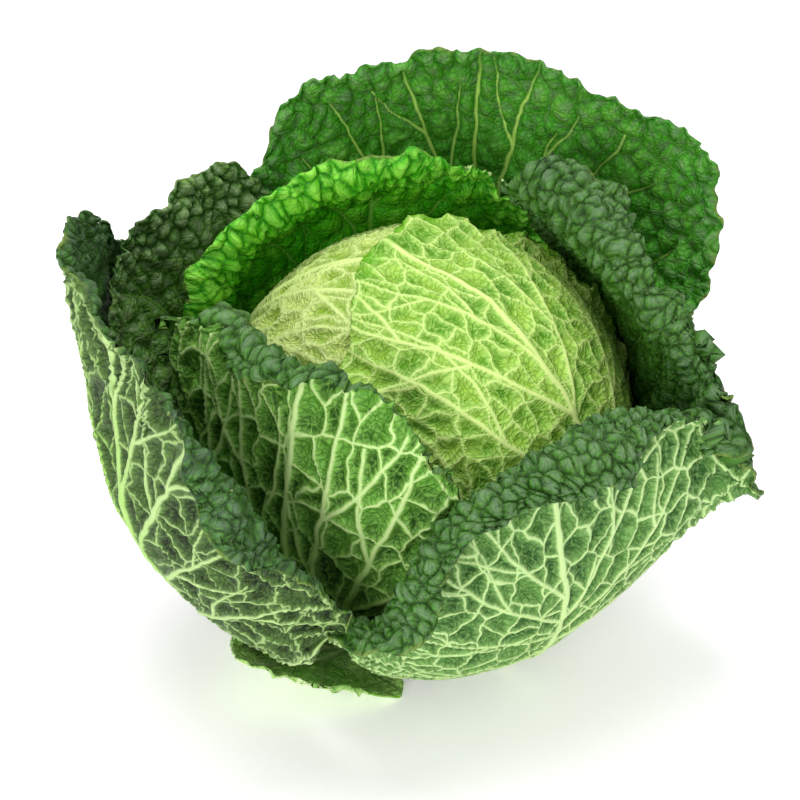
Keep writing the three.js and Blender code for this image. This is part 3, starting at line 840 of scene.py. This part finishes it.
def makeHeart():
    radius = (headBox[1].x - headBox[0].x) / 2 - heart["shrink"] * mm
    bpy.ops.object.select_all(action="DESELECT")
    bpy.ops.mesh.primitive_uv_sphere_add(
        segments=heart["segments"], ring_count=heart["rings"], radius=radius, location=headCentre)
    piece = bpy.context.object
    piece.name = "Heart"
    applyPlace(piece)
    creases = bpy.data.textures.new("Creases", "CLOUDS")
    creases.noise_scale = heart["creaseSize"] * mm
    applyModifier(piece, "DISPLACE", {
        "texture": creases, "texture_coords": "LOCAL", "mid_level": 1, "strength": heart["crumple"] * mm})
    material, net, shader, place = finishOf("HeartLeaves", heart)
    patches = net.noise(place, heart["patch"], 3.0).step(*heart["patches"])
    walls = net.cells(place, heart["cell"], dimensions="3D")
    body = net.mix(1 - walls.step(*heart["wall"]), net.mix(patches, heart["dark"], heart["light"]), heart["vein"])
    material.node_tree.links.new(body.socket, shader.inputs["Base Color"])
    height = dome(walls, heart["dome"]) + net.noise(place, heart["grain"], 2.0) * heart["grainHeight"]
    material.node_tree.links.new(bumped(net, heart, height, True).socket, shader.inputs["Normal"])
    piece.data.materials.append(material)
    declare(piece, "heart")


# The stalk is cut level with the table: a pale ring of wood round a softer middle, under a thin green skin.
stalk = {"radius": 15.6, "length": 23, "sides": 72, "skin": 1.2, "ring": 4.2, "lip": 0.6, "middle": (3.0, 3.0, 2.0),
         "sink": 0.5, "bevel": 0.7, "rows": 12, "ridges": 5, "ridge": 0.5, "twist": 200, "streak": 1.6,
         "streaks": (0.35, 0.7), "streakSquash": 0.15, "blend": 0.6, "skinEdge": (1.6, 0.9), "fibreSize": 1.1,
         "fibres": (0.5, 0.7), "fibreShare": 0.6, "bump": 0.5, "depth": 0.5, "rough": 0.6,
         "skinDark": colour(150, 184, 96), "skinLight": colour(206, 220, 156), "wood": colour(232, 232, 190),
         "pith": colour(214, 222, 160), "fibre": colour(176, 168, 112)}


def mode(name):
    bpy.ops.object.mode_set(mode=name)


def endsOf(mesh, edge):
    return [mesh.vertices[index].co for index in edge.vertices]


def makeStalk():
    length, radius = stalk["length"] * mm, stalk["radius"] * mm
    bpy.ops.object.select_all(action="DESELECT")
    bpy.ops.mesh.primitive_cylinder_add(
        vertices=stalk["sides"], radius=radius, depth=length, location=(0, 0, length / 2))
    piece = bpy.context.object
    piece.name = "Stalk"
    applyPlace(piece)
    mesh = piece.data
    mode("EDIT")
    bpy.ops.mesh.select_mode(type="FACE")
    bpy.ops.mesh.select_all(action="DESELECT")
    mode("OBJECT")
    for face in mesh.polygons:
        face.select = abs(face.normal.z) > 0.9
    # both ends get rings, and sink a little inside the skin
    mode("EDIT")
    for inset in (stalk["skin"], stalk["ring"], stalk["lip"]):
        bpy.ops.mesh.inset(thickness=inset * mm)
    bpy.ops.transform.resize(value=(1, 1, 1 - 2 * stalk["sink"] / stalk["length"]))
    for inset in stalk["middle"]:
        bpy.ops.mesh.inset(thickness=inset * mm)
    bpy.ops.mesh.poke()
    mode("OBJECT")
    for edge in mesh.edges:
        ends = endsOf(mesh, edge)
        outside = all((end.x ** 2 + end.y ** 2) ** 0.5 > radius * 0.99 for end in ends)
        edge.select = outside and abs(ends[0].z - ends[1].z) < 0.1 * mm
    mode("EDIT")
    bpy.ops.mesh.select_mode(type="EDGE")
    bpy.ops.mesh.bevel(offset=stalk["bevel"] * mm, segments=3)
    mode("OBJECT")
    # the side gets rows enough to lean and to carry its shallow ridges
    for face in mesh.polygons:
        face.select = abs(face.normal.z) < 0.1
    for edge in mesh.edges:
        ends = endsOf(mesh, edge)
        edge.select = abs(ends[0].z - ends[1].z) > 0.5 * length
    mode("EDIT")
    bpy.ops.mesh.subdivide(number_cuts=stalk["rows"])
    mode("OBJECT")
    points = np.empty(len(mesh.vertices) * 3)
    mesh.vertices.foreach_get("co", points)
    points = points.reshape(-1, 3)
    around = np.arctan2(points[:, 1], points[:, 0])
    ridges = np.cos(stalk["ridges"] * around + stalk["twist"] * points[:, 2])
    points[:, :2] *= (1 + stalk["ridge"] * mm / radius * ridges)[:, None]
    points[:, 1] -= points[:, 2] * math.tan(headLean)
    mesh.vertices.foreach_set("co", points.ravel())
    mesh.update()
    mesh.materials.append(stalkMaterial())
    declare(piece, "stalk")


def stalkMaterial():
    material, net, shader, place = finishOf("CutStalk", stalk)
    parts = net.node("ShaderNodeSeparateXYZ", {}, {0: place})
    x, y, z = parts, parts.also(1) + parts.also(2) * math.tan(headLean), parts.also(2)
    out = (x * x + y * y).maths("SQRT")
    squashed = net.node("ShaderNodeCombineXYZ", {}, {0: x, 1: y, 2: z * stalk["streakSquash"]})
    streaks = net.noise(squashed, stalk["streak"], 2.0).step(*stalk["streaks"])
    skin = net.mix(streaks, stalk["skinDark"], stalk["skinLight"])
    ringEdge = stalk["radius"] - stalk["skin"] - stalk["ring"]
    cut = net.mix(out.step(ringEdge - stalk["blend"], ringEdge + stalk["blend"]), stalk["pith"], stalk["wood"])
    fibres = net.noise(place, stalk["fibreSize"], 2.0).step(*stalk["fibres"])
    cut = net.mix(fibres * stalk["fibreShare"], cut, stalk["fibre"])
    body = net.mix(out.step(*(stalk["radius"] - inwards for inwards in stalk["skinEdge"])), cut, skin)
    material.node_tree.links.new(body.socket, shader.inputs["Base Color"])
    material.node_tree.links.new(bumped(net, stalk, streaks, False).socket, shader.inputs["Normal"])
    return material


makeHeart()
makeStalk()

# Floor, light and camera
floorLook = {"size": 8, "colour": (0.94, 0.94, 0.94, 1), "rough": 0.8, "glow": (1, 0.93, 1, 1), "glowStrength": 0.36}
bpy.ops.object.select_all(action="DESELECT")
bpy.ops.mesh.primitive_plane_add(size=floorLook["size"])
floor = bpy.context.object
floor.name = "Floor"
floorFinish = bpy.data.materials.new("PaleFloor")
floorFinish.use_nodes = True
floorShader = floorFinish.node_tree.nodes["Principled BSDF"]
floorShader.inputs["Base Color"].default_value = floorLook["colour"]
floorShader.inputs["Roughness"].default_value = floorLook["rough"]
floorShader.inputs["Emission Color"].default_value = floorLook["glow"]
floorShader.inputs["Emission Strength"].default_value = floorLook["glowStrength"]
floor.data.materials.append(floorFinish)

surroundings = {"colour": (1, 1, 1, 1), "strength": 0.66}
world = bpy.data.worlds.new("SoftLight")
bpy.context.scene.world = world
world.use_nodes = True
world.node_tree.nodes["Background"].inputs["Color"].default_value = surroundings["colour"]
world.node_tree.nodes["Background"].inputs["Strength"].default_value = surroundings["strength"]


def softBox(name, place, aim, size, power):
    bpy.ops.object.light_add(type="AREA", location=place)
    light = bpy.context.object
    light.name = name
    light.data.shape = "DISK"
    light.data.size = size
    light.data.energy = power
    light.rotation_euler = (Vector(aim) - Vector(place)).to_track_quat("-Z", "Y").to_euler()


softBox("TopLight", (-0.1, -0.1, 1.3), (0, -0.02, 0.1), size=0.9, power=8.5)
softBox("FrontLight", (-0.5, -1.4, 0.36), (0, 0, 0.1), size=0.7, power=9)

# The camera looks at the head's centre, moved a little aside and up in the picture.
view = {"elevation": 24, "distance": 0.95, "lens": 105, "sensor": 36, "aside": -0.0106, "above": 0.01345}
camera = bpy.data.cameras.new("Camera")
camera.lens = view["lens"]
camera.sensor_width = view["sensor"]
eye = bpy.data.objects.new("Camera", camera)
bpy.context.scene.collection.objects.link(eye)
tilt = math.radians(view["elevation"])
up = Vector((0, math.sin(tilt), math.cos(tilt)))
back = Vector((0, -math.cos(tilt), math.sin(tilt)))
target = headCentre + Vector((1, 0, 0)) * view["aside"] + up * view["above"]
eye.location = target + back * view["distance"]
eye.rotation_euler = (-back).to_track_quat("-Z", "Y").to_euler()
bpy.context.scene.camera = eye
bpy.context.scene.view_settings.view_transform = "Standard"
print("floor, light and camera")
